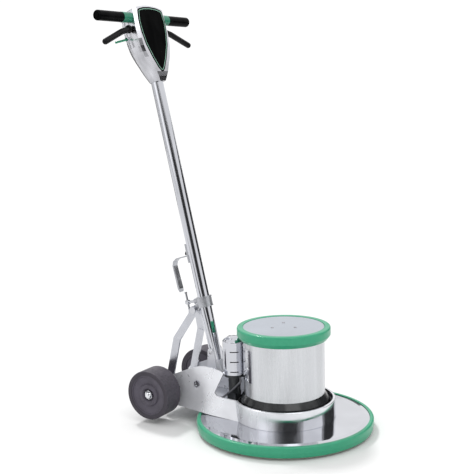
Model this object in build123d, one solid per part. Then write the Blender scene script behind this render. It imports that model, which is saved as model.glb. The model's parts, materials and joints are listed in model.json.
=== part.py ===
from build123d import *
import os
from math import cos, radians, sin, sqrt

# A single-disc high speed floor burnisher. Millimetres.
# +Z is up, -Y is the machine's front, +Y is the side the operator stands on.
# The origin is on the disc's axis at floor level.

# ---- driving dimensions -------------------------------------------------------------------------
RUNNING_GAP = 0.05            # radial clearance of every running fit
BODY_GAP = 0.3                # distance between neighbours that move past each other
SCREW_RADIUS = 3.0

# pad and its driver
PAD_RADIUS = 250.0
PAD_HEIGHT = 22.0
DRIVER_RADIUS = 236.0
DRIVER_TOP = 30.0

# pad housing and its bumper
HOUSING_RADIUS = 256.8
HOUSING_TOP = 43.0
BUMPER_RADIUS = 267.0
BUMPER_BOTTOM = 8.0
BUMPER_TOP = 40.2

# chassis casting
RING_RADIUS = 152.5
RING_LIP = 98.5
RING_BORE = 145.0
FLOOR_TOP = 57.0
TAIL_WALL = 5.0
CREASE_HEIGHT = 70.0
WALL_TOP = 178.0
TAIL_END = 412.0

# motor
CAN_RADIUS = 121.5
CAN_SHEET = 2.0
CAN_BOTTOM = 116.0
CAN_TOP = 300.0
CAP_TOP = 316.0
SHAFT_RADIUS = 12.5
BEARING_RADIUS = 26.0
STATOR_BOTTOM = 165.0
STATOR_TOP = 225.0
ROTOR_RADIUS = 65.3

# capacitor beside the handle
CAPACITOR_X = -36.0
CAPACITOR_Y = 154.6
CAPACITOR_RADIUS = 34.5
CAPACITOR_BOTTOM = 160.0
CAPACITOR_SHOULDER = 262.0
LOUVRE_DEG = 213.0            # the way its louvres face
LEAD_X = -40.0
LEAD_RADIUS = 3.0
FLANGE_SHEET = 1.4            # the canister's flange on the motor can
FLANGE_FROM = 101.0
FLANGE_TO = 158.0

# wheels
WHEEL_RADIUS = 76.2
WHEEL_WIDTH = 71.0
WHEEL_INNER_FACE = 107.0
HUB_SEAT = 58.0               # length of the hub's centre, inside the wheel's outer recess
AXLE_Y = 384.0
AXLE_Z = 92.0
AXLE_RADIUS = 8.0

# handle: a tube that leans back from its foot
LEAN_DEG = 12.8
FOOT_Y = 200.0                # where the tube's axis would meet the floor
TUBE_RADIUS = 19.05
TUBE_BORE = 16.5
TUBE_BOTTOM = 150.0
TUBE_TOP = 1215.0
PIVOT_Y = 262.0
PIVOT_Z = 122.0
PIVOT_RADIUS = 6.0

# brace and its clamp, measured along the tube and behind its axis
BRACE_PIN_ALONG = 352.0
BRACE_PIN_BEHIND = 38.0
BRACE_PIN_RADIUS = 4.0
BRACE_WIDTH = 25.0
BRACE_THICKNESS = 6.0
BRACE_FOOT_X = 65.7
BRACE_TOP_X = 16.3
KNEE_Y = 345.0
KNEE_Z = 251.0
SCREW_ALONG = 377.0
TOMMY_BEHIND = 65.0

# control head, in the tube's own frame
GRIP_ALONG = 1269.0
GRIP_BEHIND = -3.0
GRIP_RADIUS = 15.6
GRIP_END = 226.0
COLLAR_START = 70.0
COLLAR_END = 114.0
BAR_RADIUS = 11.0
HEAD_TOP = 1305.0             # highest point of the domed top, along the tube
DOME_RADIUS = 236.0
DOME_BEHIND = -40.0
HEAD_FRONT = 30.0
HEAD_WALL = 4.0
SPLIT_BEHIND = 16.0           # where the front casing meets the rear cover
LEVER_ALONG = 1233.0
LEVER_X = 80.0
LEVER_PIN_X = 62.0
LEVER_BEHIND = -2.0
LEVER_RADIUS = 9.2
INTERLOCK_ALONG = 1209.0
INTERLOCK_BEHIND = 23.0
INTERLOCK_X = -72.0
INTERLOCK_PIN = 1.5
INTERLOCK_LENGTH = 58.0
INTERLOCK_DROOP = 10.9
BUSHING_RADIUS = 6.6
BUSHING_BORE = 5.5
GLAND_BORE = 5.0
GLAND_OUT = 2.5               # how far its flange stands off the rounded cover

LOW = (Align.CENTER, Align.CENTER, Align.MIN)
LEAN = Location((0, FOOT_Y, 0), (-LEAN_DEG, 0, 0))


# ---- helpers ------------------------------------------------------------------------------------
def post(radius, bottom, top, x=0.0, y=0.0):
    """A vertical cylinder."""
    return Pos(x, y, bottom) * Cylinder(radius, top - bottom, align=LOW)


def sleeve(outer, inner, bottom, top, x=0.0, y=0.0):
    """A vertical ring."""
    return post(outer, bottom, top, x, y) - post(inner, bottom - 1, top + 1, x, y)


def rod_x(radius, start, end, y, z):
    """A cylinder that lies along X."""
    return Pos(start, y, z) * Rot(0, 90, 0) * Cylinder(radius, end - start, align=LOW)


def rod_y(radius, start, end, x, z):
    """A cylinder that lies along Y."""
    return Pos(x, start, z) * Rot(-90, 0, 0) * Cylinder(radius, end - start, align=LOW)


def turned(points, rounds=()):
    """A solid of revolution about Z from (radius, height) points; rounds holds (point, fillet radius)."""
    face = make_face(Polyline(*points, close=True))
    for (across, up), radius in rounds:
        corner = face.vertices().sort_by_distance(Vector(across, up, 0))[0]
        face = fillet(corner, radius)
    return revolve(Plane.XZ * face, Axis.Z, 360)


def plate_yz(points, start, end):
    """A plate between two X values, with its outline in (Y, Z)."""
    return extrude(Plane.YZ.offset(start) * make_face(Polyline(*points, close=True)), end - start)


def around(count, radius, first_deg=0.0):
    """Points evenly spaced on a circle."""
    angles = [radians(first_deg + 360.0 * k / count) for k in range(count)]
    return [(radius * cos(a), radius * sin(a)) for a in angles]


def hex_head(across_flats, bottom, top, x=0.0, y=0.0):
    """A hexagonal head or nut along Z."""
    face = RegularPolygon(across_flats / 2, 6, major_radius=False)
    return Pos(x, y, bottom) * extrude(face, top - bottom)


def joined(pieces):
    """Several touching or separate solids as one shape."""
    whole = pieces[0]
    for piece in pieces[1:]:
        whole = whole + piece
    return whole


def in_lean(across, behind, along):
    """World position of a point given in the tube's own frame."""
    lean = radians(LEAN_DEG)
    y = FOOT_Y + along * sin(lean) + behind * cos(lean)
    z = along * cos(lean) - behind * sin(lean)
    return across, y, z


def to_lean(y, z):
    """(behind, along) in the tube's own frame of a world (Y, Z) point."""
    lean = radians(LEAN_DEG)
    behind = (y - FOOT_Y) * cos(lean) - z * sin(lean)
    along = (y - FOOT_Y) * sin(lean) + z * cos(lean)
    return behind, along


PARTS = {}


def keep(name, shape):
    PARTS[name] = shape


# ---- pad, driver and motor rotor: everything that spins -------------------------------------------
def make_spindle():
    keep("burnishing_pad", turned(
        [(0, 0), (PAD_RADIUS, 0), (PAD_RADIUS, PAD_HEIGHT), (0, PAD_HEIGHT)],
        [((PAD_RADIUS, 0), 5), ((PAD_RADIUS, PAD_HEIGHT), 5)]))
    driver = sleeve(DRIVER_RADIUS, SHAFT_RADIUS, PAD_HEIGHT, DRIVER_TOP)
    bolts = [post(3, PAD_HEIGHT, 40, x, y) + post(5.5, 40, 44, x, y) for x, y in around(4, 37, 45)]
    hub = turned([(SHAFT_RADIUS, DRIVER_TOP), (44, DRIVER_TOP), (44, 40), (30, 40), (28, 54),
                  (SHAFT_RADIUS, 54)])
    for bolt in bolts:
        driver = driver - bolt
        hub = hub - bolt
    keep("pad_driver", driver)
    keep("drive_hub", hub)
    keep("driver_screws", joined(bolts))
    keep("motor_shaft", post(SHAFT_RADIUS, PAD_HEIGHT, 291))
    keep("rotor_core", turned(
        [(SHAFT_RADIUS, STATOR_BOTTOM - 4), (52, STATOR_BOTTOM - 4), (ROTOR_RADIUS, STATOR_BOTTOM + 2),
         (ROTOR_RADIUS, STATOR_TOP - 2), (52, STATOR_TOP + 4), (SHAFT_RADIUS, STATOR_TOP + 4)]))
    blade = Pos(62, 0, 259) * Box(72, 2, 9, align=LOW)
    fan = sleeve(28, SHAFT_RADIUS, 252, 268) + sleeve(98, 27, 257.5, 259.5)
    for k in range(10):
        fan = fan + Rot(0, 0, 36 * k) * blade
    keep("cooling_fan", fan)


# ---- pad housing, bumper and chassis casting ------------------------------------------------------
def make_base():
    skirt = HOUSING_RADIUS - 2.8
    housing = turned([
        (60, HOUSING_TOP - 5), (60, HOUSING_TOP), (158, HOUSING_TOP), (240, 41.2), (254.6, 38.2),
        (HOUSING_RADIUS, 36), (HOUSING_RADIUS, 11), (skirt, 11), (skirt, 33), (249, 36.5)])
    keep("base_bumper", turned([
        (HOUSING_RADIUS, BUMPER_BOTTOM), (BUMPER_RADIUS - 2.5, BUMPER_BOTTOM), (BUMPER_RADIUS, 22),
        (BUMPER_RADIUS - 0.5, BUMPER_TOP), (255, BUMPER_TOP), (255, 38.6), (HOUSING_RADIUS, 36.6)],
        [((BUMPER_RADIUS - 0.5, BUMPER_TOP), 5), ((BUMPER_RADIUS - 2.5, BUMPER_BOTTOM), 3)]))

    def outline(front, middle, back, end):
        """Half-widths of the tail at four stations, closed across the machine."""
        right = [(front, 60), (front - 3, 100), (middle, 190), (back, 300), (end, 392), (end - 5, 404),
                 (end - 16, TAIL_END)]
        return right + [(-x, y) for x, y in reversed(right)]

    def tail_solid(inset, low):
        """The tail's drafted block; inset moves its walls inwards."""
        faces = []
        for height, widths in ((HOUSING_TOP, (127, 117, 96, 84)), (CREASE_HEIGHT, (119, 109, 88, 79)),
                               (WALL_TOP, (84, 78, 74, 73))):
            points = [(x - inset if x > 0 else x + inset, y - (inset if y == TAIL_END else 0))
                      for x, y in outline(*widths)]
            faces.append(Plane.XY.offset(height) * make_face(Polyline(*points, close=True)))
        block = loft(faces, ruled=True)
        if low > HOUSING_TOP:
            block = block - Pos(0, 200, low - 200) * Box(600, 900, 200, align=LOW)
        return block

    profile = make_face(Polyline(
        (62, HOUSING_TOP), (62, RING_LIP), (160, RING_LIP), (178, 100.5), (190, 107.5), (165, 168),
        (205, 176.5), (240, 177.5), (262, 174.5), (295, 163), (354, 138), (396, 120), (412, 102),
        (412, HOUSING_TOP), close=True))
    for corner, radius in (((190, 107.5), 6), ((178, 100.5), 6), ((412, 102), 10), ((165, 168), 1.5)):
        vertex = profile.vertices().sort_by_distance(Vector(*corner, 0))[0]
        profile = fillet(vertex, radius)
    side = extrude(Plane.YZ.offset(-200) * profile, 400)
    foot = RING_RADIUS + 0.8
    ring = turned([(0, HOUSING_TOP), (foot - 1.2, HOUSING_TOP), (foot - 1.2, HOUSING_TOP + 1.2),
                   (foot, HOUSING_TOP + 1.2), (RING_RADIUS, RING_LIP), (0, RING_LIP)],
                  [((RING_RADIUS, RING_LIP), 3)])
    casting = ring + (tail_solid(0, 0) & side)
    casting = casting - post(RING_BORE, FLOOR_TOP, WALL_TOP + 50)
    casting = casting - tail_solid(TAIL_WALL, FLOOR_TOP)
    for hand in (-1, 1):
        boss = rod_x(17, 66, 82, PIVOT_Y, PIVOT_Z)
        casting = casting + (boss if hand > 0 else mirror(boss, Plane.YZ))
    # the trough is open at the rear, above the cross wall behind the axle
    casting = casting - Pos(0, 388, 100) * Box(143, 60, 140, align=(Align.CENTER, Align.MIN, Align.MIN))
    # a clip on the trough's floor holds the motor's lead
    casting = casting + Pos(LEAD_X, 236, FLOOR_TOP - 1) * Box(16, 14, 12, align=LOW)
    for hand in (-1, 1):
        pocket = rod_x(13, 80.5, 120, PIVOT_Y, PIVOT_Z)
        casting = casting - (pocket if hand > 0 else mirror(pocket, Plane.YZ))
    casting = casting - rod_x(PIVOT_RADIUS, -120, 120, PIVOT_Y, PIVOT_Z)
    casting = casting - rod_x(AXLE_RADIUS, -150, 150, AXLE_Y, AXLE_Z)
    casting = casting - post(46, 40, 60)

    motor_bolts = []
    for x, y in around(4, 108, 45):
        casting = casting - post(8, HOUSING_TOP - 1, 50, x, y) - post(3, 40, 80, x, y)
        motor_bolts.append(post(3, 50, 64, x, y) + hex_head(11, 44, 50, x, y))

    housing_screws = []
    for x, y in around(6, 132, 0):
        screw = post(3, HOUSING_TOP - 5, 53, x, y) + post(6, 34.5, HOUSING_TOP - 5, x, y)
        housing = housing - screw
        casting = casting - screw
        housing_screws.append(screw)
    keep("base_screws", joined(motor_bolts + housing_screws))
    keep("pad_housing", housing)
    keep("chassis_casting", casting)

    bolt = rod_x(PIVOT_RADIUS, -86, 80.5, PIVOT_Y, PIVOT_Z)
    head = Pos(80.5, PIVOT_Y, PIVOT_Z) * Rot(0, 90, 0) * extrude(RegularPolygon(9, 6, major_radius=False), 6)
    keep("pivot_bolt", bolt + head)
    nut = Pos(-87.5, PIVOT_Y, PIVOT_Z) * Rot(0, 90, 0) * extrude(RegularPolygon(9, 6, major_radius=False), 7)
    keep("pivot_nut", nut - rod_x(PIVOT_RADIUS, -90, -70, PIVOT_Y, PIVOT_Z))


# ---- motor: everything that stands still ---------------------------------------------------------
def make_motor():
    bell = turned([
        (BEARING_RADIUS, FLOOR_TOP), (134, FLOOR_TOP), (134, 97), (123, 113.5), (CAN_RADIUS, CAN_BOTTOM),
        (CAN_RADIUS - CAN_SHEET, CAN_BOTTOM), (CAN_RADIUS - CAN_SHEET, 126), (112, 126), (112, 110),
        (122, 96), (122, 66), (36, 66), (36, 80), (BEARING_RADIUS, 80)],
        [((134, 97), 6)])
    for x, y in around(4, 108, 45):
        bell = bell - post(3, 50, 64, x, y)
    keep("lower_end_bell", bell)
    keep("motor_gasket", turned([
        (134, FLOOR_TOP), (RING_BORE, FLOOR_TOP), (RING_BORE, 84), (142, 88), (138, 88), (134, 84)],
        [((142, 88), 1.5), ((138, 88), 1.5)]))
    keep("motor_can", sleeve(CAN_RADIUS, CAN_RADIUS - CAN_SHEET, CAN_BOTTOM, CAN_TOP))
    inner = CAN_RADIUS - CAN_SHEET
    keep("upper_end_bell", turned([
        (BEARING_RADIUS, 273), (34, 273), (34, 288), (110, 288), (110, 280), (inner, 280), (inner, 298),
        (0, 298), (0, 293), (BEARING_RADIUS, 293)]))
    keep("motor_cap", turned([
        (0, CAP_TOP - 2), (0, CAP_TOP), (CAN_RADIUS, CAP_TOP), (CAN_RADIUS, CAN_TOP), (inner, CAN_TOP),
        (inner, CAP_TOP - 2)], [((CAN_RADIUS, CAP_TOP), 1.5)])
        - joined([post(2.5, 300, 330, x, y) for x, y in around(3, 39, 30)]))
    keep("cap_screws", joined([
        post(2.5, 298, CAP_TOP, x, y)
        + Pos(x, y, 0) * turned([(0, CAP_TOP), (4.6, CAP_TOP), (3.6, CAP_TOP + 1.6), (0, CAP_TOP + 2.2)])
        for x, y in around(3, 39, 30)]))
    keep("cap_bumper", turned([
        (CAN_RADIUS, 281), (131, 281), (140, 293), (140, 317.5), (CAN_RADIUS, 317.5)],
        [((140, 317.5), 6), ((131, 281), 2), ((140, 293), 3), ((CAN_RADIUS, 317.5), 1.5)]))
    keep("stator_core", sleeve(inner, 66, STATOR_BOTTOM, STATOR_TOP))
    coil = turned([(70, 0), (100, 0), (100, 16), (70, 16)],
                  [((70, 16), 4), ((100, 16), 4)])
    keep("stator_windings", joined([
        Pos(0, 0, STATOR_TOP) * coil,
        Pos(0, 0, STATOR_BOTTOM - 16) * coil]))
    keep("motor_bearings", joined([
        sleeve(BEARING_RADIUS, SHAFT_RADIUS + RUNNING_GAP, bottom, bottom + 15) for bottom in (63.0, 275.0)]))


def make_capacitor():
    x, y = CAPACITOR_X, CAPACITOR_Y
    radius, bottom, shoulder = CAPACITOR_RADIUS, CAPACITOR_BOTTOM, CAPACITOR_SHOULDER
    cover = turned(
        [(0, shoulder + 14), (10, shoulder + 13.6), (20, shoulder + 11.5), (28, shoulder + 7),
         (radius, shoulder), (radius, bottom), (radius - 2, bottom), (radius - 2, shoulder - 1),
         (26, shoulder + 5), (18, shoulder + 9.5), (0, shoulder + 12)],
        [((radius, shoulder), 4)])
    for height in (171.0, 202.0, 233.0):
        slot = Rot(0, 0, LOUVRE_DEG) * Pos(radius, 0, height) * Box(30, 26, 3.2)
        cover = cover - slot
    cover = Pos(x, y, 0) * cover
    # a thin flange wraps part of the motor can and joins the canister's side by a web
    flange = sleeve(CAN_RADIUS + FLANGE_SHEET, CAN_RADIUS, bottom + 2, shoulder - 2)
    spokes = [(200 * cos(radians(turn)), 200 * sin(radians(turn))) for turn in (FLANGE_FROM, FLANGE_TO)]
    wedge = extrude(make_face(Polyline((0, 0), *spokes, close=True)), 400)
    web = Rot(0, 0, FLANGE_FROM + 2) * Pos(CAN_RADIUS + 0.2, 0, bottom + 4)
    web = web * Box(12, 7, shoulder - bottom - 8, align=(Align.MIN, Align.CENTER, Align.MIN))
    web = web - post(radius - 1, 0, 400, x, y)
    keep("capacitor_cover", cover + (flange & wedge) + web)
    keep("start_capacitor", post(27, bottom - 2, 246, x, y))
    column = post(19, 90, bottom - 8, x, y) + post(radius - 2, bottom - 8, bottom - 2, x, y)
    foot = Pos(x, y, FLOOR_TOP) * Box(40, 30, 44, align=LOW)
    bracket = column + foot - post(RING_BORE + 0.3, 50, 120) - post(CAN_RADIUS + 0.3, 100, 180)
    lead_path = FilletPolyline((-48, 128, bottom - 6), (-51, 122, 141), (-57, 155, 107), (-46, 192, 78),
                               (LEAD_X, 236, 62), radius=9)
    lead = sweep(Plane(origin=lead_path @ 0, z_dir=lead_path % 0) * Circle(LEAD_RADIUS), path=lead_path)
    keep("motor_lead", lead)
    keep("capacitor_bracket", bracket - lead)
    keep("chassis_casting", PARTS["chassis_casting"] - lead)


# ---- wheels and axle ----------------------------------------------------------------------------
def make_wheels():
    nut_seat = WHEEL_INNER_FACE + HUB_SEAT + 2
    keep("wheel_axle", rod_x(AXLE_RADIUS, -nut_seat, nut_seat, AXLE_Y, AXLE_Z)
         + rod_x(5, -nut_seat - 8.5, nut_seat + 8.5, AXLE_Y, AXLE_Z))
    tyre = turned([
        (62, 0), (WHEEL_RADIUS, 0), (WHEEL_RADIUS, WHEEL_WIDTH), (62, WHEEL_WIDTH)],
        [((WHEEL_RADIUS, 0), 3.5), ((WHEEL_RADIUS, WHEEL_WIDTH), 3.5), ((62, WHEEL_WIDTH), 1.5)])
    bore = AXLE_RADIUS + RUNNING_GAP
    hub = turned([
        (bore, 0), (36, 0), (36, 4), (58, 4), (58, 1), (62, 1), (62, 69), (59, 69), (57.5, 65.5),
        (36, 62), (33, 66.5), (23, 68), (19, 64), (18, HUB_SEAT), (bore, HUB_SEAT)],
        [((57.5, 65.5), 1.5), ((36, 62), 1.5), ((33, 66.5), 1.5), ((23, 68), 1.5)])
    spacer = sleeve(13, AXLE_RADIUS, 82, WHEEL_INNER_FACE - BODY_GAP)
    dome = turned([(0, 12), (0, 14.5), (6, 13.6), (10, 11), (12, 7), (12, 0), (5, 0), (5, 9), (3, 12)])
    nut = hex_head(25, 0, 5) - post(5, -1, 6) + (dome - post(20, -1, 5)) + (sleeve(12, 5, 0, 6))
    spacers = []
    nuts = []
    for name, hand in (("left", -1), ("right", 1)):
        turn = Pos(hand * WHEEL_INNER_FACE, AXLE_Y, AXLE_Z) * Rot(0, 90 * hand, 0)
        keep(name + "_tyre", turn * tyre)
        keep(name + "_wheel_hub", turn * hub)
        centre = Pos(0, AXLE_Y, AXLE_Z) * Rot(0, 90 * hand, 0)
        spacers.append(centre * spacer)
        nuts.append(Pos(hand * nut_seat, AXLE_Y, AXLE_Z) * Rot(0, 90 * hand, 0) * nut)
    keep("axle_spacers", joined(spacers))
    keep("axle_nuts", joined(nuts))


# ---- handle tube, yoke and hook -------------------------------------------------------------------
def make_handle():
    screw_along = 214.0
    tube = sleeve(TUBE_RADIUS, TUBE_BORE, TUBE_BOTTOM, TUBE_TOP)
    cross_screw = rod_x(3, -27, 27, 0, screw_along)
    heads = rod_x(6, 25.2, 28.5, 0, screw_along) + rod_x(6, -28.5, -25.2, 0, screw_along)
    tube = tube - cross_screw
    behind, along = to_lean(PIVOT_Y, PIVOT_Z)
    hub = rod_x(15, -65.5, 65.5, behind, along)
    web = plate_yz([(-22, 140), (behind, along - 15), (behind + 14, along + 4), (20, 186), (-18, 186)],
                   -19.0, 19.0)
    socket = post(24.5, 140, 183)
    ears = joined([plate_yz([(-9, 160), (20, 160), (24, 176), (9, 224), (-7, 224), (-9, 216)], start, end)
                   for start, end in ((-25.2, -TUBE_RADIUS), (TUBE_RADIUS, 25.2))])
    yoke = hub + web + socket + ears
    yoke = yoke - post(TUBE_RADIUS, TUBE_BOTTOM, 300) - post(13, 130, 155)
    yoke = yoke - rod_x(PIVOT_RADIUS + RUNNING_GAP, -90, 90, behind, along) - cross_screw
    keep("handle_yoke", LEAN * yoke)
    keep("yoke_screw", LEAN * (cross_screw + heads))

    hook_points = [(14, 500), (14, 560), (TUBE_RADIUS + 3.2, 560), (TUBE_RADIUS + 3.2, 524.5), (66, 521),
                   (80, 513), (86, 499), (84.5, 424), (80, 413), (78, 424), (82, 498), (77, 510),
                   (65, 517.6), (TUBE_RADIUS + 3.2, 520), (TUBE_RADIUS + 3.2, 500)]
    hook = plate_yz(hook_points, -11, 11)
    keep("cord_hook", LEAN * (hook - post(TUBE_RADIUS, 480, 600)))
    buffer = plate_yz([(TUBE_RADIUS + 3.2, 526), (30, 526), (29, 532), (TUBE_RADIUS + 3.2, 542)], -8, 8)
    keep("hook_buffer", LEAN * buffer)
    keep("handle_tube", LEAN * tube)


# ---- brace: two bent bars from the axle to the clamp on the tube ------------------------------------
def make_brace():
    _, top_y, top_z = in_lean(0, BRACE_PIN_BEHIND, BRACE_PIN_ALONG)
    half = BRACE_WIDTH / 2

    def unit(y, z):
        length = sqrt(y * y + z * z)
        return y / length, z / length

    lower = unit(KNEE_Y - AXLE_Y, KNEE_Z - AXLE_Z)
    upper = unit(top_y - KNEE_Y, top_z - KNEE_Z)
    middle = unit(lower[0] + upper[0], lower[1] + upper[1])
    tab_y, tab_z = top_y - 17 * upper[0], top_z - 17 * upper[1]

    def across(point, direction):
        """The two edge points of the bar at a station; the bar's width is square to its direction."""
        wide = (direction[1] * half, -direction[0] * half)
        return [(point[0] - wide[0], point[1] - wide[1]), (point[0] + wide[0], point[1] + wide[1])]

    foot = across((AXLE_Y, AXLE_Z), lower)
    knee = across((KNEE_Y, KNEE_Z), middle)
    tab = across((tab_y, tab_z), upper)
    top = across((top_y, top_z), upper)
    thick = BRACE_THICKNESS / 2

    def level(pair, x):
        """A cross-section rectangle of the slanting stretch, at one end of it."""
        (y0, z0), (y1, z1) = pair
        corners = [(x - thick, y0, z0), (x + thick, y0, z0), (x + thick, y1, z1), (x - thick, y1, z1)]
        return make_face(Polyline(*corners, close=True))

    foot_plate = plate_yz([foot[0], foot[1], knee[1], knee[0]], BRACE_FOOT_X - thick, BRACE_FOOT_X + thick)
    slant = loft([level(knee, BRACE_FOOT_X), level(tab, BRACE_TOP_X)])
    tab_plate = plate_yz([tab[0], tab[1], top[1], top[0]], BRACE_TOP_X - thick, BRACE_TOP_X + thick)
    bar = foot_plate + rod_x(half, BRACE_FOOT_X - thick, BRACE_FOOT_X + thick, AXLE_Y, AXLE_Z)
    bar = bar + slant + tab_plate + rod_x(half, BRACE_TOP_X - thick, BRACE_TOP_X + thick, top_y, top_z)
    bar = bar - rod_x(AXLE_RADIUS + RUNNING_GAP, 0, 100, AXLE_Y, AXLE_Z)
    # the pin's hole is loose, so the linkage can follow the handle
    bar = bar - rod_x(BRACE_PIN_RADIUS + 4.3, 0, 40, top_y, top_z)
    keep("right_brace_bar", bar)
    keep("left_brace_bar", mirror(bar, Plane.YZ))

    outer = TUBE_RADIUS + 5
    band = sleeve(outer, TUBE_RADIUS + RUNNING_GAP, 356, 388)
    band = band + sleeve(outer + 1.2, outer - 1, 356, 359) + sleeve(outer + 1.2, outer - 1, 385, 388)
    for start in (-13.0, 7.0):
        lug = plate_yz([(14, 357), (14, 368), (30, 368), (45, 358), (47, 348), (38, 342), (28, 346)],
                       start, start + 6)
        band = band + lug
    band = band + rod_y(9, 20, 36, 0, SCREW_ALONG)
    band = band - post(TUBE_RADIUS + RUNNING_GAP, 300, 420)
    band = band - rod_x(BRACE_PIN_RADIUS, -30, 30, BRACE_PIN_BEHIND, BRACE_PIN_ALONG)
    screw_bore = rod_y(BRACE_PIN_RADIUS + RUNNING_GAP, 10, 60, 0, SCREW_ALONG)
    keep("clamp_collar", LEAN * (band - screw_bore))
    reach = BRACE_TOP_X + thick + 0.5
    pin = rod_x(BRACE_PIN_RADIUS, -reach - 1, reach + 1, BRACE_PIN_BEHIND, BRACE_PIN_ALONG)
    pin = pin + rod_x(10.5, reach, reach + 2.5, BRACE_PIN_BEHIND, BRACE_PIN_ALONG)
    pin = pin + rod_x(10.5, -reach - 2.5, -reach, BRACE_PIN_BEHIND, BRACE_PIN_ALONG)
    keep("clamp_pin", LEAN * pin)
    screw = rod_y(BRACE_PIN_RADIUS, TUBE_RADIUS + 0.5, TOMMY_BEHIND - 4, 0, SCREW_ALONG)
    screw = screw + rod_y(7, TOMMY_BEHIND - 6, TOMMY_BEHIND + 6, 0, SCREW_ALONG)
    tommy = post(3.5, SCREW_ALONG - 33, SCREW_ALONG + 33, 0, TOMMY_BEHIND)
    tommy = tommy + post(4.4, SCREW_ALONG + 28, SCREW_ALONG + 33, 0, TOMMY_BEHIND)
    tommy = tommy + post(4.4, SCREW_ALONG - 33, SCREW_ALONG - 28, 0, TOMMY_BEHIND)
    keep("clamp_screw", LEAN * (screw + tommy))


# ---- control head -------------------------------------------------------------------------------
def head_section(along, width, front, rear, inset):
    """One slice of the head, square to the tube: flat front, straight cheeks, elliptical back."""
    w, f, r = width - inset, front - inset, rear - inset
    cheek = min(8.0, f / 2)
    base = -f + 8 + cheek
    lines = [Line((-w + 8, -f), (w - 8, -f)), Line((w - 8, -f), (w, -f + 8)), Line((w, -f + 8), (w, base))]
    lines.append(EllipticalCenterArc((0, base), w, r - base, start_angle=0, arc_size=180))
    lines.append(Line((-w, base), (-w, -f + 8)))
    lines.append(Line((-w, -f + 8), (-w + 8, -f)))
    return Plane.XY.offset(along) * make_face(Curve() + lines)


HEAD_SLICES = [(1070, 22.5, 24, 23), (1084, 29, 28, 30.5), (1098, 36.5, HEAD_FRONT, 37),
               (1112, 44, HEAD_FRONT, 42), (1126, 52, HEAD_FRONT, 46.5), (1143, 61.5, HEAD_FRONT, 52),
               (1160, 69, HEAD_FRONT, 57), (1178, 74, HEAD_FRONT, 61), (1200, 77, HEAD_FRONT, 64.5),
               (1225, 77.5, HEAD_FRONT, 67), (1255, 76, HEAD_FRONT, 68.5), (1330, 71, HEAD_FRONT, 66)]


def head_block(inset):
    """The head as a solid with a domed top, in the tube's own frame."""
    slices = []
    for along, width, front, rear in HEAD_SLICES:
        lift = inset if along == HEAD_SLICES[0][0] else 0.0
        slices.append(head_section(along + lift, width, front, rear, inset))
    dome = Pos(0, DOME_BEHIND, HEAD_TOP - DOME_RADIUS) * Sphere(DOME_RADIUS - inset)
    return loft(slices, ruled=True) & dome


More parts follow.
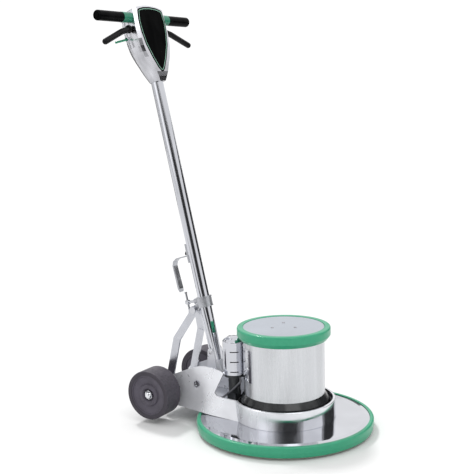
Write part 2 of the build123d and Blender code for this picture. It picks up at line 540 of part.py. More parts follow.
def make_head():
    block = head_block(0.0)
    dome_face = block.faces().sort_by(Axis.Z)[-1]
    block = LEAN * fillet(dome_face.edges(), 5)
    shell = block - LEAN * head_block(HEAD_WALL)

    # black plate: a shield with rounded corners, let into the head's flat front
    right = [(0, 1298.5), (32, 1296.5), (60, 1290), (67, 1254), (64, 1220), (55, 1181), (35, 1139),
             (15, 1107)]
    left = [(-x, along) for x, along in reversed(right[1:])]
    outline = right + [(0, 1093)] + left
    face = make_face(Polyline(*outline, close=True))
    for (x, along), radius in (((-60, 1290), 11), ((60, 1290), 11), ((0, 1093), 10)):
        vertex = face.vertices().sort_by_distance(Vector(x, along, 0))[0]
        face = fillet(vertex, radius)
    front = Plane(origin=(0, -HEAD_FRONT - 0.6, 0), x_dir=(1, 0, 0), z_dir=(0, -1, 0))
    plate = extrude(front * face, -2.0)
    keep("nameplate", LEAN * plate)
    shell = shell - LEAN * plate
    shell = shell - LEAN * post(TUBE_RADIUS, 1000, TUBE_TOP + 1)
    collar_radius = GRIP_RADIUS + 0.7
    shell = shell - LEAN * rod_x(collar_radius, -120, 120, GRIP_BEHIND, GRIP_ALONG)
    lever_bores = [LEAN * rod_x(8.8, start, end, LEVER_BEHIND, LEVER_ALONG)
                   for start, end in ((-95, -66), (66, 95))]
    shell = shell - joined(lever_bores)
    bushing = rod_x(BUSHING_RADIUS, -77, -58, INTERLOCK_BEHIND, INTERLOCK_ALONG)
    shell = shell - LEAN * bushing
    pins = [rod_y(SCREW_RADIUS, -28, 12, x, LEVER_ALONG) for x in (-LEVER_PIN_X, LEVER_PIN_X)]
    reach = BUSHING_RADIUS - 0.4
    pin_ends = (INTERLOCK_BEHIND - reach, INTERLOCK_BEHIND + reach)
    interlock_pin = rod_y(INTERLOCK_PIN, *pin_ends, INTERLOCK_X, INTERLOCK_ALONG)
    pins = LEAN * joined(pins + [interlock_pin])
    keep("lever_pins", pins)
    switch = LEAN * Pos(0, -7.5, 1222) * Box(58, 38, 34, align=LOW)
    keep("power_switch", switch)
    shell = shell - pins - switch
    gland_place = LEAN * Pos(0, -14, 1160) * Rot(0, 0, -45) * Pos(0, 70, 0) * Rot(-112, 0, 0)
    shell = shell - gland_place * post(8, -30, 40)

    half = LEAN * Pos(0, SPLIT_BEHIND, 1000) * Box(300, 200, 400, align=(Align.CENTER, Align.MIN, Align.MIN))
    screw_places = ((-50, 1212), (50, 1212), (-34, 1150), (34, 1150))
    posts = joined([LEAN * rod_y(6.5, -HEAD_FRONT + 4, 80, x, along) for x, along in screw_places]) & block
    shell = shell + (posts - LEAN * plate)
    screws = []
    for x, along in screw_places:
        screw = LEAN * (rod_y(2, -8, 26, x, along) + rod_y(4, 26, 29, x, along))
        shell = shell - LEAN * rod_y(4, 26, 90, x, along) - screw
        screws.append(screw)
    keep("cover_screws", joined(screws))
    keep("control_housing", shell - half)
    keep("rear_cover", shell & half)

    neck = sleeve(8, GLAND_BORE, -14, GLAND_OUT)
    flange = sleeve(12, GLAND_BORE, GLAND_OUT, 12)
    spout = turned([(GLAND_BORE, 12), (9.5, 12), (7, 30), (GLAND_BORE, 30)])
    keep("cord_gland", gland_place * (neck + flange + spout))
    bar_end = GRIP_END - 9
    keep("grip_bar", LEAN * (rod_x(BAR_RADIUS, -bar_end, bar_end, GRIP_BEHIND, GRIP_ALONG)
                             - rod_x(BAR_RADIUS - 2, -240, 240, GRIP_BEHIND, GRIP_ALONG)))
    grip = turned([
        (BAR_RADIUS, COLLAR_END), (GRIP_RADIUS, COLLAR_END), (GRIP_RADIUS, GRIP_END - 4),
        (GRIP_RADIUS - 4, GRIP_END), (10, GRIP_END), (10, GRIP_END - 2), (7, GRIP_END - 2), (7, GRIP_END),
        (0, GRIP_END), (0, bar_end + 0.5), (BAR_RADIUS, bar_end + 0.5)],
        [((GRIP_RADIUS, GRIP_END - 4), 4)])
    wide = GRIP_RADIUS + 0.5
    collar = turned([
        (BAR_RADIUS, COLLAR_START), (wide, COLLAR_START), (wide, COLLAR_END), (BAR_RADIUS, COLLAR_END)],
        [((wide, COLLAR_END), 0.4)])
    for name, hand in (("left", -1), ("right", 1)):
        turn = LEAN * Pos(0, GRIP_BEHIND, GRIP_ALONG) * Rot(0, 90 * hand, 0)
        keep(name + "_grip", turn * grip)
        keep(name + "_grip_collar", turn * collar)

    # switch lever: a curved rod with a rounded end, a tapered boss by the cheek and an eye on its pin
    path_points = [(LEVER_X + 5, LEVER_BEHIND, LEVER_ALONG), (122, LEVER_BEHIND, 1225),
                   (209, LEVER_BEHIND, 1192)]
    path = FilletPolyline(*path_points, radius=90)
    arm = sweep(Plane(origin=path @ 0, z_dir=path % 0) * Circle(LEVER_RADIUS), path=path)
    tip = Pos(*path_points[-1]) * Sphere(LEVER_RADIUS)
    boss = Pos(0, LEVER_BEHIND, LEVER_ALONG) * Rot(0, 90, 0) * turned(
        [(0, LEVER_X), (8, LEVER_X), (12.5, LEVER_X + 5), (12.5, LEVER_X + 12), (0, LEVER_X + 17)],
        [((12.5, LEVER_X + 12), 3)])
    root = rod_x(5.2, LEVER_PIN_X, LEVER_X + 2, LEVER_BEHIND, LEVER_ALONG)
    eye = rod_y(7, -9, 5, LEVER_PIN_X, LEVER_ALONG)
    pin_bore = rod_y(SCREW_RADIUS + RUNNING_GAP, -30, 30, LEVER_PIN_X, LEVER_ALONG)
    lever = LEAN * (boss + root + eye + arm + tip - pin_bore)
    keep("right_switch_lever", lever)
    keep("left_switch_lever", mirror(lever, Plane.YZ))

    # the interlock's rod turns on a small cross pin inside its bushing, with a short tail inside the head
    pivot = Pos(INTERLOCK_X, INTERLOCK_BEHIND, INTERLOCK_ALONG)
    rod = pivot * Rot(0, -90 - INTERLOCK_DROOP, 0) * Cylinder(3.3, INTERLOCK_LENGTH, align=LOW)
    end = pivot * Rot(0, -90 - INTERLOCK_DROOP, 0) * Pos(0, 0, INTERLOCK_LENGTH) * Sphere(3.6)
    tail = rod_x(1.8, INTERLOCK_X, -60, INTERLOCK_BEHIND, INTERLOCK_ALONG)
    knuckle = rod_y(4.2, INTERLOCK_BEHIND - 3.2, INTERLOCK_BEHIND + 3.2, INTERLOCK_X, INTERLOCK_ALONG)
    cross_bore = rod_y(INTERLOCK_PIN + RUNNING_GAP, 10, 40, INTERLOCK_X, INTERLOCK_ALONG)
    keep("interlock_lever", LEAN * (rod + end + tail + knuckle - cross_bore))
    bushing = bushing - rod_x(BUSHING_BORE, -80, -50, INTERLOCK_BEHIND, INTERLOCK_ALONG)
    keep("interlock_bushing", LEAN * (bushing - interlock_pin))


def write_parts():
    os.makedirs("parts", exist_ok=True)
    for name, shape in PARTS.items():
        export_step(shape, f"parts/{name}.step")
        box = shape.bounding_box()
        print(name, len(shape.solids()), [round(v, 1) for v in (*box.min, *box.max)])


make_spindle()
make_base()
make_motor()
make_capacitor()
make_wheels()
make_handle()
make_brace()
make_head()
write_parts()
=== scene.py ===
import json
from math import atan2, cos, pi, radians, sin

import bmesh
import bpy
from mathutils import Matrix, Vector


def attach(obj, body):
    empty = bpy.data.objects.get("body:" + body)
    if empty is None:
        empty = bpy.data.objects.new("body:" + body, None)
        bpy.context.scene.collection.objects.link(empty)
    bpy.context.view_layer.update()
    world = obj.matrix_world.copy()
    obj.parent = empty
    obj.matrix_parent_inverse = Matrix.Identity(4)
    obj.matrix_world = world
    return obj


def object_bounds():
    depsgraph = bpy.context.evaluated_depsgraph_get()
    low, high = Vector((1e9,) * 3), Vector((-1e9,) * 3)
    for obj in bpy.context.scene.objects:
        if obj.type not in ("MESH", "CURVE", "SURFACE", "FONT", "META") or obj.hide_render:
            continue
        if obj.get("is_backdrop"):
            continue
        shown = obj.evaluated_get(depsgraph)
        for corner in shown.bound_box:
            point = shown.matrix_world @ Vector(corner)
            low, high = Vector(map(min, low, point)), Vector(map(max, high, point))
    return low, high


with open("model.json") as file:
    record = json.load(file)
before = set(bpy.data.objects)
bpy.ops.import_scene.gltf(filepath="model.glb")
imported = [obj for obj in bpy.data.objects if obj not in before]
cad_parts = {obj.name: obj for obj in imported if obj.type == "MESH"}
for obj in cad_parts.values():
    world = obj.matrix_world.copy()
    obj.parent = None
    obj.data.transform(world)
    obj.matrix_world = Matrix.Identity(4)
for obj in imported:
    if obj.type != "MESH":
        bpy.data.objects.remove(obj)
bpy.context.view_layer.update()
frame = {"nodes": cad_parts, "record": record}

NODES = frame["nodes"]

# ---- the machine's own places, in metres ----------------------------------------------------------
LEAN = radians(12.8)          # the handle leans back by this
LEAN_FOOT = Vector((0.0, 0.2, 0.0))
CAN_RADIUS = 0.1215
AXLE = Vector((0.0, 0.384, 0.092))
RING_JOINS_TAIL = Vector((-0.125, 0.095, 0.0))


def in_lean(across, behind, along):
    """World position of a point given across, behind and along the leaning tube."""
    return LEAN_FOOT + Vector((
        across,
        along * sin(LEAN) + behind * cos(LEAN),
        along * cos(LEAN) - behind * sin(LEAN)))


HEAD_TOP = in_lean(0.0, 0.0, 1.25)


def to_lean(point):
    """(across, behind, along) of a world point, in the leaning tube's frame."""
    y = point.y - LEAN_FOOT.y
    return point.x, y * cos(LEAN) - point.z * sin(LEAN), y * sin(LEAN) + point.z * cos(LEAN)


# ---- node materials ------------------------------------------------------------------------------
UPRIGHT_AXIS = (1.0, 1.0, 0.0)      # distance from an upright line
CROSS_AXIS = (0.0, 1.0, 1.0)        # distance from a line across the machine
ALL_AXES = (1.0, 1.0, 1.0)          # distance from a point
DISC_MIDDLE = (0.0, 0.0, 0.0)
UNTURNED = (0.0, 0.0, 0.0)
ALONG_TUBE = (LEAN, 0.0, 0.0)


class Look:
    """A Principled material and the nodes that vary it. Places are object coordinates, in metres."""

    def __init__(self, name, color, metallic=0.0, roughness=0.4, **sockets):
        self.material = bpy.data.materials.new(name)
        self.material.use_nodes = True
        self.tree = self.material.node_tree
        self.shader = self.tree.nodes["Principled BSDF"]
        self.color = color
        self.set("Base Color", (*color, 1.0))
        self.set("Metallic", metallic)
        self.set("Roughness", roughness)
        for socket, value in sockets.items():
            self.set(socket.replace("_", " "), value)
        self.place = self.tree.nodes.new("ShaderNodeTexCoord").outputs["Object"]
        self.height = None

    def set(self, socket, value):
        self.shader.inputs[socket].default_value = value

    def node(self, kind, links=(), values=(), **attributes):
        made = self.tree.nodes.new("ShaderNode" + kind)
        for attribute, value in attributes.items():
            setattr(made, attribute, value)
        for socket, value in values:
            made.inputs[socket].default_value = value
        for socket, source in links:
            self.tree.links.new(source, made.inputs[socket])
        return made

    def stretched(self, stretch, turn=UNTURNED):
        values = [("Rotation", turn), ("Scale", stretch)]
        return self.node("Mapping", [("Vector", self.place)], values).outputs["Vector"]

    def noise(self, scale, detail=3.0, rough=0.55, stretch=None, distort=0.0, turn=UNTURNED):
        place = self.stretched(stretch, turn) if stretch else self.place
        values = [("Scale", scale), ("Detail", detail), ("Roughness", rough), ("Distortion", distort)]
        return self.node("TexNoise", [("Vector", place)], values).outputs["Fac"]

    def cells(self, scale):
        return self.node("TexVoronoi", [("Vector", self.place)], [("Scale", scale)]).outputs["Distance"]

    def span(self, source, low, high, from_low=0.3, from_high=0.7):
        """The source, remapped to run from low to high."""
        values = [("From Min", from_low), ("From Max", from_high), ("To Min", low), ("To Max", high)]
        return self.node("MapRange", [("Value", source)], values).outputs["Result"]

    def math(self, operation, first, second):
        made = self.node("Math", operation=operation)
        for k, source in enumerate((first, second)):
            if isinstance(source, (int, float)):
                made.inputs[k].default_value = source
            else:
                self.tree.links.new(source, made.inputs[k])
        return made.outputs[0]

    def radius(self, about, axes):
        """Distance from about; axes says which coordinates count."""
        moved = self.node("VectorMath", [(0, self.place)], [(1, about)], operation="SUBTRACT")
        kept = self.node("VectorMath", [(0, moved.outputs[0])], [(1, axes)], operation="MULTIPLY")
        return self.node("VectorMath", [(0, kept.outputs[0])], operation="LENGTH").outputs["Value"]

    def link(self, source, socket):
        self.tree.links.new(source, self.shader.inputs[socket])

    def rough(self, source, low, high, from_low=0.3, from_high=0.7):
        self.link(self.span(source, low, high, from_low, from_high), "Roughness")

    def tint(self, source, other, from_low=0.35, from_high=0.65):
        """The colour drifts from the base towards other as the source rises."""
        made = self.node("ValToRGB", [("Fac", source)])
        made.color_ramp.elements[0].position = from_low
        made.color_ramp.elements[1].position = from_high
        made.color_ramp.elements[0].color = (*self.color, 1.0)
        made.color_ramp.elements[1].color = (*other, 1.0)
        self.link(made.outputs["Color"], "Base Color")

    def bump(self, height, distance, strength=1.0):
        values = [("Distance", distance), ("Strength", strength)]
        links = [("Height", height)]
        if self.height is not None:
            links.append(("Normal", self.height))
        self.height = self.node("Bump", links, values).outputs["Normal"]
        self.link(self.height, "Normal")

    def hairlines(self, scale, across):
        """Hairline scratches along the upright."""
        self.bump(self.noise(scale, detail=2.0, stretch=(1.0, 1.0, across)), 0.00001, 0.35)


def scaled(color, factor, added=0.0):
    return tuple(channel * factor + added for channel in color)


def bright_plate(name, color, low, high, waves):
    """Bright plating or mirror polish: faint smudges, hairline scratches and a slow ripple."""
    look = Look(name, color, metallic=1.0)
    smudge = look.noise(22.0, detail=5.0, distort=0.6)
    look.rough(smudge, low, high, 0.35, 0.75)
    look.tint(look.noise(9.0, detail=2.0), scaled(color, 0.93))
    look.bump(look.noise(14.0, detail=1.0), waves, 0.6)
    look.hairlines(260.0, 0.06)
    return look.material


def brushed(name, color, low, high, grain, tinted=0.9, metallic=1.0):
    """Brushed or drawn metal: a fine grain in one direction over slow patches."""
    look = Look(name, color, metallic=metallic)
    lines = look.noise(900.0, detail=3.0, stretch=grain)
    look.rough(lines, low, high)
    look.tint(look.noise(12.0, detail=3.0), scaled(color, tinted))
    look.bump(lines, 0.00003, 0.5)
    look.bump(look.noise(10.0, detail=1.0), 0.0003, 0.4)
    return look.material


def polished_cast(name, color):
    """A buffed casting: mirror bright on its turned ring, softer on its walls and where they join it."""
    look = Look(name, color, metallic=1.0)
    walls = look.span(look.radius(DISC_MIDDLE, UPRIGHT_AXIS), 0.0, 1.0, 0.154, 0.160)
    joins = look.span(look.radius(RING_JOINS_TAIL, UPRIGHT_AXIS), 1.0, 0.0, 0.09, 0.17)
    soft = look.math("MAXIMUM", walls, joins)
    smudge = look.span(look.noise(20.0, detail=5.0, distort=0.6), 0.05, 0.16)
    blur = look.math("MULTIPLY", soft, 0.20)
    look.link(look.math("ADD", smudge, blur), "Roughness")
    look.link(look.span(soft, 1.0, 0.55, 0.0, 1.0), "Metallic")
    look.tint(look.noise(11.0, detail=3.0), scaled(color, 0.86))
    look.bump(look.noise(13.0, detail=1.0), 0.0008, 0.6)
    look.hairlines(240.0, 0.08)
    return look.material


def buffed_head_painted_reflections(name, color):
    """The control head: buffed along its length with a slow ripple, and painted dark reflection streaks
    low down.
    """
    look = Look(name, color, metallic=1.0)
    look.rough(look.noise(24.0, detail=5.0, distort=0.6), 0.16, 0.28)
    # painted reflection: upright dark streaks in the colour, weak near the head's top and full further
    # down, stand in for the surroundings mirrored in the cheeks
    painted_reflection_streaks = look.span(look.noise(26.0, detail=2.0, stretch=(1.0, 1.0, 0.12), turn=ALONG_TUBE), 0.3, 1.0)
    painted_reflection_low_down = look.span(look.radius(HEAD_TOP, ALL_AXES), 0.10, 1.0, 0.06, 0.15)
    look.tint(look.math("MULTIPLY", painted_reflection_streaks, painted_reflection_low_down), scaled(color, 0.42), 0.0, 1.0)
    look.bump(look.noise(11.0, detail=0.0, stretch=(1.0, 1.0, 0.4), turn=ALONG_TUBE), 0.0022, 0.8)
    look.hairlines(240.0, 0.08)
    return look.material


def plated_can(name, color):
    """Bright plated sheet: soft upright bands over a fine upright grain."""
    look = Look(name, color, metallic=1.0)
    lines = look.noise(900.0, detail=3.0, stretch=(1.0, 1.0, 0.02))
    look.rough(lines, 0.24, 0.34)
    look.tint(look.noise(26.0, detail=2.0, stretch=(1.0, 1.0, 0.04)), scaled(color, 0.80), 0.3, 0.7)
    look.bump(lines, 0.00002, 0.4)
    look.bump(look.noise(10.0, detail=1.0), 0.0003, 0.4)
    return look.material


def cast_metal(name, color, low, high):
    """A satin casting with fine grit and slow unevenness."""
    look = Look(name, color, metallic=1.0)
    look.rough(look.noise(60.0, detail=6.0), low, high)
    look.tint(look.noise(28.0, detail=4.0), scaled(color, 0.82))
    look.bump(look.noise(16.0, detail=2.0), 0.0006, 0.5)
    look.bump(look.noise(700.0, detail=3.0), 0.00005, 0.5)
    return look.material


def vinyl(name, color, scuffs=None):
    """Soft vinyl: fine pebble, cloudy gloss, and pale scuffs where scuffs rises to one."""
    look = Look(name, color, roughness=0.4, Coat_Weight=0.3, Coat_Roughness=0.06, Specular_IOR_Level=0.25)
    cloud = look.noise(30.0, detail=5.0)
    look.rough(cloud, 0.30, 0.46)
    mottled = look.noise(85.0, detail=4.0)
    if scuffs:
        marks = look.noise(55.0, detail=8.0, rough=0.75, stretch=(1.0, 1.0, 3.5))
        worn = look.math("MULTIPLY", look.span(marks, 0.0, 1.0, 0.58, 0.72), scuffs(look))
        mottled = look.math("MAXIMUM", look.span(mottled, 0.0, 0.35), worn)
        look.tint(mottled, scaled(color, 1.2, 0.015), 0.0, 1.0)
    else:
        look.tint(mottled, scaled(color, 0.82))
    look.bump(look.noise(1500.0, detail=2.0), 0.00004, 0.6)
    look.bump(look.noise(24.0, detail=2.0), 0.0004, 0.35)
    return look.material


def moulded(name, color, low=0.4, high=0.6, pebble=1100.0, **sockets):
    """Moulded plastic or rubber with a fine pebbled skin."""
    look = Look(name, color, **sockets)
    look.rough(look.noise(45.0, detail=5.0), low, high)
    look.tint(look.noise(26.0, detail=4.0), scaled(color, 1.5, 0.004))
    look.bump(look.noise(pebble, detail=2.0), 0.00006, 0.7)
    look.bump(look.noise(18.0, detail=1.0), 0.0003, 0.3)
    return look.material


def tyre_rubber(name, color):
    """Grey tyre rubber: turned rings on its sides and a dusty, scuffed tread."""
    look = Look(name, color, roughness=0.6, Specular_IOR_Level=0.3)
    reach = look.radius(AXLE, CROSS_AXIS)
    grit = look.noise(140.0, detail=8.0, rough=0.7)
    tread = look.span(reach, 0.0, 1.0, 0.0725, 0.0755)
    dust = look.math("MULTIPLY", tread, look.span(grit, 0.15, 1.0, 0.35, 0.7))
    look.tint(dust, (0.085, 0.077, 0.094), 0.0, 1.0)
    look.rough(look.noise(40.0, detail=5.0), 0.42, 0.66)
    rings = look.math("SINE", look.math("MULTIPLY", reach, 2600.0), 0.0)
    look.bump(rings, 0.00005, 0.35)
    look.bump(grit, 0.00012, 0.5)
    return look.material


def wheel_plastic(name, color):
    """Moulded wheel centre: fine turned rings over a pebbled skin."""
    look = Look(name, color, roughness=0.5, Specular_IOR_Level=0.3)
    reach = look.radius(AXLE, CROSS_AXIS)
    look.bump(look.math("SINE", look.math("MULTIPLY", reach, 5200.0), 0.0), 0.00002, 0.4)
    look.bump(look.noise(800.0, detail=2.0), 0.00005, 0.5)
    look.rough(look.noise(55.0, detail=5.0), 0.38, 0.56)
    look.tint(look.noise(30.0, detail=5.0), scaled(color, 1.35))
    return look.material


def fibre(name, color):
    """Open non-woven pad fibre."""
    look = Look(name, color, roughness=0.95, Sheen_Weight=0.35, Sheen_Roughness=0.6)
    strands = look.noise(420.0, detail=8.0, rough=0.8, distort=2.2)
    look.tint(strands, scaled(color, 0.55), 0.4, 0.62)
    look.bump(strands, 0.0006, 0.9)
    look.bump(look.cells(160.0), 0.0008, 0.5)
    return look.material


def enamel(name, color, low=0.14, high=0.3):
    """Gloss enamel on a rough casting."""
    look = Look(name, color, Specular_IOR_Level=0.25, Coat_Weight=0.25, Coat_Roughness=0.12)
    look.rough(look.noise(35.0, detail=5.0), low, high)
    look.tint(look.noise(50.0, detail=5.0), scaled(color, 1.8, 0.006))
    look.bump(look.noise(210.0, detail=3.0), 0.00012, 0.5)
    look.bump(look.noise(20.0, detail=2.0), 0.0008, 0.4)
    return look.material


def gloss_sheet(name, color):
    """Gloss plastic sheet with faint wipe marks."""
    look = Look(name, color, Specular_IOR_Level=0.06, IOR=1.15)
    wipes = look.noise(30.0, detail=6.0, stretch=(1.0, 1.0, 0.35), distort=0.8)
    look.rough(wipes, 0.10, 0.26)
    look.tint(wipes, scaled(color, 1.0, 0.0025))
    look.bump(look.noise(40.0, detail=1.0), 0.00004, 0.4)
    return look.material


def bumper_edge(look):
    """One on the base bumper's outermost band, fading inwards."""
    return look.span(look.radius(DISC_MIDDLE, UPRIGHT_AXIS), 0.0, 1.0, 0.2645, 0.2668)


def cap_edge(look):
    """One on the motor bumper's outermost band."""
    return look.span(look.radius(DISC_MIDDLE, UPRIGHT_AXIS), 0.0, 0.7, 0.1370, 0.1384)


GREEN = (0.026, 0.275, 0.150)
CHROME = (0.60, 0.61, 0.65)

LOOKS = {
    "pad_fibre": fibre("pad_fibre", (0.70, 0.64, 0.50)),
    "driver_block": moulded("driver_block", (0.015, 0.015, 0.017)),
    "plain_steel": brushed("plain_steel", (0.58, 0.58, 0.60), 0.22, 0.40, (0.05, 1.0, 1.0)),
    "rotor_steel": brushed("rotor_steel", (0.32, 0.32, 0.34), 0.35, 0.55, (0.02, 0.02, 1.0)),
    "fan_plastic": moulded("fan_plastic", (0.020, 0.020, 0.022)),
    "polished_housing": bright_plate("polished_housing", (0.64, 0.65, 0.69), 0.03, 0.10, 0.0001),
    "polished_casting": polished_cast("polished_casting", (0.80, 0.81, 0.85)),
    "green_vinyl": vinyl("green_vinyl", GREEN, bumper_edge),
    "motor_skin": plated_can("motor_skin", (0.66, 0.675, 0.70)),
    "cap_skin": brushed("cap_skin", (0.38, 0.405, 0.45), 0.38, 0.50, (0.03, 1.0, 1.0), tinted=0.95,
                        metallic=0.35),
    "bell_casting": enamel("bell_casting", (0.007, 0.008, 0.009)),
    "black_seal": moulded("black_seal", (0.002, 0.002, 0.003), 0.12, 0.24,
                          Specular_IOR_Level=0.10, IOR=1.35),
    "copper": brushed("copper", (0.55, 0.20, 0.09), 0.3, 0.45, (1.0, 1.0, 1.0)),
    "canister_chrome": bright_plate("canister_chrome", CHROME, 0.07, 0.16, 0.0004),
    "capacitor_can": brushed("capacitor_can", (0.55, 0.56, 0.58), 0.3, 0.45, (1.0, 1.0, 0.03)),
    "black_bracket": enamel("black_bracket", (0.016, 0.018, 0.020), 0.25, 0.4),
    "cable_jacket": moulded("cable_jacket", (0.09, 0.09, 0.10), 0.35, 0.5),
    "bright_fastener": bright_plate("bright_fastener", (0.74, 0.75, 0.78), 0.08, 0.22, 0.0002),
    "grey_tyre": tyre_rubber("grey_tyre", (0.040, 0.035, 0.046)),
    "wheel_plastic": wheel_plastic("wheel_plastic", (0.058, 0.052, 0.068)),
    "handle_chrome": bright_plate("handle_chrome", CHROME, 0.03, 0.10, 0.0002),
    "head_casting": buffed_head_painted_reflections("head_casting", (0.76, 0.765, 0.81)),
    "plate_gloss": gloss_sheet("plate_gloss", (0.0012, 0.0013, 0.0014)),
    "grip_black": moulded("grip_black", (0.0012, 0.0012, 0.0015), 0.16, 0.28,
                          Specular_IOR_Level=0.05, IOR=1.3),
    "lever_black": moulded("lever_black", (0.003, 0.003, 0.0035), 0.24, 0.40, pebble=700.0,
                           Specular_IOR_Level=0.10),
    "collar_green": vinyl("collar_green", (0.018, 0.190, 0.110)),
    "bar_steel": brushed("bar_steel", (0.55, 0.55, 0.57), 0.25, 0.4, (0.02, 1.0, 1.0)),
    "brace_chrome": bright_plate("brace_chrome", (0.54, 0.55, 0.59), 0.14, 0.28, 0.0016),
    "clamp_casting": cast_metal("clamp_casting", (0.50, 0.51, 0.54), 0.26, 0.44),
    "zinc_bright": bright_plate("zinc_bright", (0.60, 0.61, 0.64), 0.10, 0.24, 0.0003),
    "rod_green": vinyl("rod_green", GREEN),
}
CAP_GREEN = vinyl("cap_green", GREEN, cap_edge)


def paint(obj, material):
    obj.data.materials.clear()
    obj.data.materials.append(material)


for part in frame["record"]["subparts"]:
    paint(NODES[part["node"]], LOOKS[part["material_slot"]])
paint(NODES["cap_bumper"], CAP_GREEN)
paint(NODES["cap_screws"], LOOKS["rotor_steel"])
paint(NODES["cord_hook"], LOOKS["clamp_casting"])


# ---- new pieces ----------------------------------------------------------------------------------
def add(name, vertices, faces, slot_name, body):
    """A mesh piece that rides on a body."""
    mesh = bpy.data.meshes.new(name)
    mesh.from_pydata([tuple(v) for v in vertices], [], faces)
    cleaner = bmesh.new()
    cleaner.from_mesh(mesh)
    bmesh.ops.recalc_face_normals(cleaner, faces=cleaner.faces)
    cleaner.to_mesh(mesh)
    cleaner.free()
    mesh.shade_smooth()
    obj = bpy.data.objects.new(name, mesh)
    bpy.context.scene.collection.objects.link(obj)
    obj.data.materials.append(LOOKS[slot_name])
    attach(obj, body)
    return obj


def closed_grid(rows, columns):
    """Quads of a grid of vertices, numbered row by row, that closes on itself both ways."""
    faces = []
    for i in range(rows):
        for j in range(columns):
            i2, j2 = (i + 1) % rows, (j + 1) % columns
            faces.append((i * columns + j, i * columns + j2, i2 * columns + j2, i2 * columns + j))
    return faces


def turned(name, profile, place, slot_name, body, steps):
    """A piece turned about a local Z axis from (radius, height) points; place is its matrix."""
    vertices = []
    for k in range(steps):
        angle = 2 * pi * k / steps
        for radius, height in profile:
            vertices.append(place @ Vector((radius * cos(angle), radius * sin(angle), height)))
    return add(name, vertices, closed_grid(steps, len(profile)), slot_name, body)


def facing(point, direction):
    """A matrix that puts local Z along direction at point."""
    return Matrix.Translation(point) @ direction.to_track_quat("Z", "Y").to_matrix().to_4x4()


def pan_head(name, point, direction, radius, slot_name, body):
    """A small pan-head screw: a domed head with a recess."""
    profile = [(0.0, -0.0005), (radius, -0.0005), (radius, radius * 0.25), (radius * 0.8, radius * 0.52),
               (radius * 0.4, radius * 0.62), (radius * 0.34, radius * 0.3), (0.0, radius * 0.28)]
    return turned(name, profile, facing(point, direction), slot_name, body, 24)


def level(bearing):
    """The level direction at a bearing, turning from +X towards +Y."""
    return Vector((cos(bearing), sin(bearing), 0.0))


FLANGE_FACE = CAN_RADIUS + 0.0014
FLANGE_SCREW_RADIUS = 0.0034
outward = level(radians(149.0))
for number, height in enumerate((0.170, 0.201, 0.232, 0.252)):
    spot = outward * FLANGE_FACE + Vector((0.0, 0.0, height))
    pan_head(f"flange_screw_{number}", spot, outward, FLANGE_SCREW_RADIUS, "bright_fastener", "chassis")


def plate_outline():
    """The nameplate's front outline as (across, along) points in order, and how far forward it lies."""
    points = [to_lean(v.co) for v in NODES["nameplate"].data.vertices]
    front = min(p[1] for p in points)
    flat = {(round(p[0], 5), round(p[2], 5)) for p in points if p[1] < front + 0.0002}
    middle = (0.0, sum(p[1] for p in flat) / len(flat))
    ordered = sorted(flat, key=lambda p: atan2(p[1] - middle[1], p[0] - middle[0]))
    return ordered, front


def resampled(loop, count):
    """The closed loop as count evenly spaced points."""
    pairs = list(zip(loop, loop[1:] + loop[:1]))
    lengths = [(Vector(b) - Vector(a)).length for a, b in pairs]
    total = sum(lengths)
    points = []
    for k in range(count):
        travel = total * k / count
        for (a, b), length in zip(pairs, lengths):
            if travel <= length and length > 0:
                points.append(Vector(a).lerp(Vector(b), travel / length))
                break
            travel -= length
    return points


def inset(loop, distance):
    """The closed counter-clockwise loop moved inwards."""
    moved = []
    count = len(loop)
    for k in range(count):
        along = (loop[(k + 1) % count] - loop[k - 1]).normalized()
        moved.append(loop[k] + Vector((-along.y, along.x)) * distance)
    return moved


STRIPE_OUTER = 0.0045         # from the plate's edge to the line's outer edge
STRIPE_INNER = STRIPE_OUTER + 0.0022
STRIPE_PROUD = 0.0003
STRIPE_SUNK = -0.0002
STRIPE_POINTS = 180
outline, plate_front = plate_outline()
loop = resampled(outline, STRIPE_POINTS)
stripe = []
section = ((STRIPE_OUTER, STRIPE_SUNK), (STRIPE_OUTER, STRIPE_PROUD),
           (STRIPE_INNER, STRIPE_PROUD), (STRIPE_INNER, STRIPE_SUNK))
for distance, lift in section:
    stripe += [in_lean(p.x, plate_front - lift, p.y) for p in inset(loop, distance)]
add("plate_pinstripe", stripe, closed_grid(len(section), STRIPE_POINTS), "rod_green", "handle")
paint(bpy.data.objects["plate_pinstripe"], vinyl("stripe_green", (0.20, 0.40, 0.30)))


# ---- floor, lights and camera --------------------------------------------------------------------
def stage_sheet(name, corners, material):
    mesh = bpy.data.meshes.new(name)
    mesh.from_pydata([tuple(c) for c in corners], [], [tuple(range(len(corners)))])
    mesh.materials.append(material)
    obj = bpy.data.objects.new(name, mesh)
    bpy.context.scene.collection.objects.link(obj)
    obj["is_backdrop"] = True
    return obj


FLOOR_SIZE = 60.0
floor_look = Look("floor_white", (0.70, 0.70, 0.70), roughness=0.95, Specular_IOR_Level=0.0)
stage_sheet("floor", [(-FLOOR_SIZE, -FLOOR_SIZE, 0.0), (FLOOR_SIZE, -FLOOR_SIZE, 0.0),
                      (FLOOR_SIZE, FLOOR_SIZE, 0.0), (-FLOOR_SIZE, FLOOR_SIZE, 0.0)], floor_look.material)


def reflected_only(name, corners, shade):
    """A dark flat panel that only reflections see."""
    panel = stage_sheet(name, corners, Look(name, (shade, shade, shade), roughness=1.0).material)
    panel.visible_camera = False
    panel.visible_diffuse = False
    panel.visible_shadow = False


def dark_flag(name, bearing_deg, distance, width, low, high, shade):
    """An upright dark panel, facing the machine."""
    bearing = radians(bearing_deg)
    side = level(bearing + pi / 2) * width / 2
    foot = level(bearing) * distance
    left, right = foot - side, foot + side
    bottom, top = Vector((0.0, 0.0, low)), Vector((0.0, 0.0, high))
    reflected_only(name, [left + bottom, right + bottom, right + top, left + top], shade)


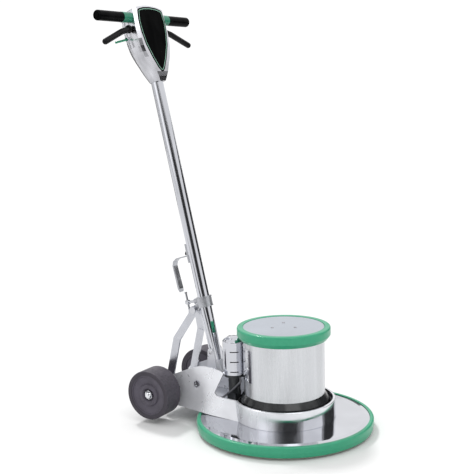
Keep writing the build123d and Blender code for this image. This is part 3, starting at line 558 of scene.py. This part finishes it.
def dark_mat(name, bearings_deg, distances, height, shade):
    """A dark panel just over the floor, between two bearings and two distances."""
    first, last = [level(radians(bearing_deg)) for bearing_deg in bearings_deg]
    near, far = distances
    lifted = Vector((0.0, 0.0, height))
    corners = [first * near, last * near, last * far, first * far]
    reflected_only(name, [corner + lifted for corner in corners], shade)


VIEWER = 209.5                # about the camera's bearing, in degrees, as the panels are placed
LAYER_GAP = 0.02              # between panels that stand in front of each other
MAT_GAP = 0.004

# a broad dark stretch with soft edges on the viewer's side, and a second on the right
for number, (width, high, shade) in enumerate(((4.6, 2.3, 0.40), (3.6, 2.0, 0.16), (2.6, 1.7, 0.02))):
    dark_flag(f"flag_front_{number}", VIEWER + 6.0, 3.4 - LAYER_GAP * number, width, 0.25, high, shade)
for number, (width, shade) in enumerate(((3.0, 0.25), (2.2, 0.02))):
    dark_flag(f"flag_right_{number}", VIEWER + 118.0, 2.8 - LAYER_GAP * number, width, 0.3, 1.5, shade)

# narrow dark uprights on the left, for the lines along the tube
for number, (turn_deg, width) in enumerate(((67.0, 0.16), (94.0, 0.40), (118.0, 0.5), (140.0, 0.4))):
    dark_flag(f"flag_left_{number}", VIEWER - turn_deg, 3.2, width, 0.4, 3.4, 0.12)

# dark mats far out on the left of the floor shade the lower tube
for number, (turn_from, turn_to, near, far, shade) in enumerate((
        (72.0, 16.0, 1.9, 4.2, 0.35), (62.0, 20.0, 2.2, 4.0, 0.10))):
    dark_mat(f"mat_left_{number}", (VIEWER - turn_from, VIEWER - turn_to), (near, far),
             MAT_GAP * (number + 1), shade)

# low panels behind, which only metal seen edge-on mirrors, draw its outlines
for number, turn_deg in enumerate((145.0, 180.0, 215.0)):
    dark_flag(f"flag_back_{number}", VIEWER + turn_deg, 3.6, 1.7, 0.0, 1.05, 0.16)


def lamp(name, data, place, direction):
    """A light at place that shines along direction."""
    made = bpy.data.objects.new(name, data)
    bpy.context.scene.collection.objects.link(made)
    made.location = place
    made.rotation_euler = direction.to_track_quat("-Z", "Y").to_euler()


def soft_light(name, place, target, size, watts):
    data = bpy.data.lights.new(name, "AREA")
    data.shape = "RECTANGLE"
    data.size, data.size_y = size
    data.energy = watts
    lamp(name, data, place, Vector(target) - Vector(place))


soft_light("key", (-1.6, -2.2, 3.4), (0.0, 0.1, 0.3), (2.4, 1.8), 28.0)

# a broad sun from behind on the left, so that the machine's shadow falls softly towards the viewer's right
sun = bpy.data.lights.new("sun", "SUN")
sun.energy = 1.6
sun.angle = radians(9.0)
lamp("sun", sun, (0.0, 0.0, 0.0), Vector((-0.6, -1.05, -1.7)))
soft_light("fill", (-3.2, 1.4, 1.8), (0.0, 0.2, 0.5), (1.6, 2.2), 6.0)

world = bpy.data.worlds.new("studio")
world.use_nodes = True
surround = world.node_tree.nodes["Background"].inputs
surround["Color"].default_value = (1.0, 1.0, 1.0, 1.0)
surround["Strength"].default_value = 1.06
bpy.context.scene.world = world
bpy.context.scene.view_settings.view_transform = "Standard"

CAMERA_PLACE = Vector((-2.3607, -1.3383, 1.0118))
CAMERA_BEARING = radians(212.345)      # from the machine to the camera
CAMERA_RISE = radians(8.892)           # how far it looks down
CAMERA_ROLL = radians(-1.351)
camera_data = bpy.data.cameras.new("camera")
camera_data.sensor_width = 36.0
camera_data.lens = 70.99
camera = bpy.data.objects.new("camera", camera_data)
bpy.context.scene.collection.objects.link(camera)
camera.matrix_world = (Matrix.Translation(CAMERA_PLACE)
                       @ Matrix.Rotation(CAMERA_BEARING + pi / 2, 4, "Z")
                       @ Matrix.Rotation(pi / 2 - CAMERA_RISE, 4, "X")
                       @ Matrix.Rotation(CAMERA_ROLL, 4, "Z"))
bpy.context.scene.camera = camera

low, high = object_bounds()
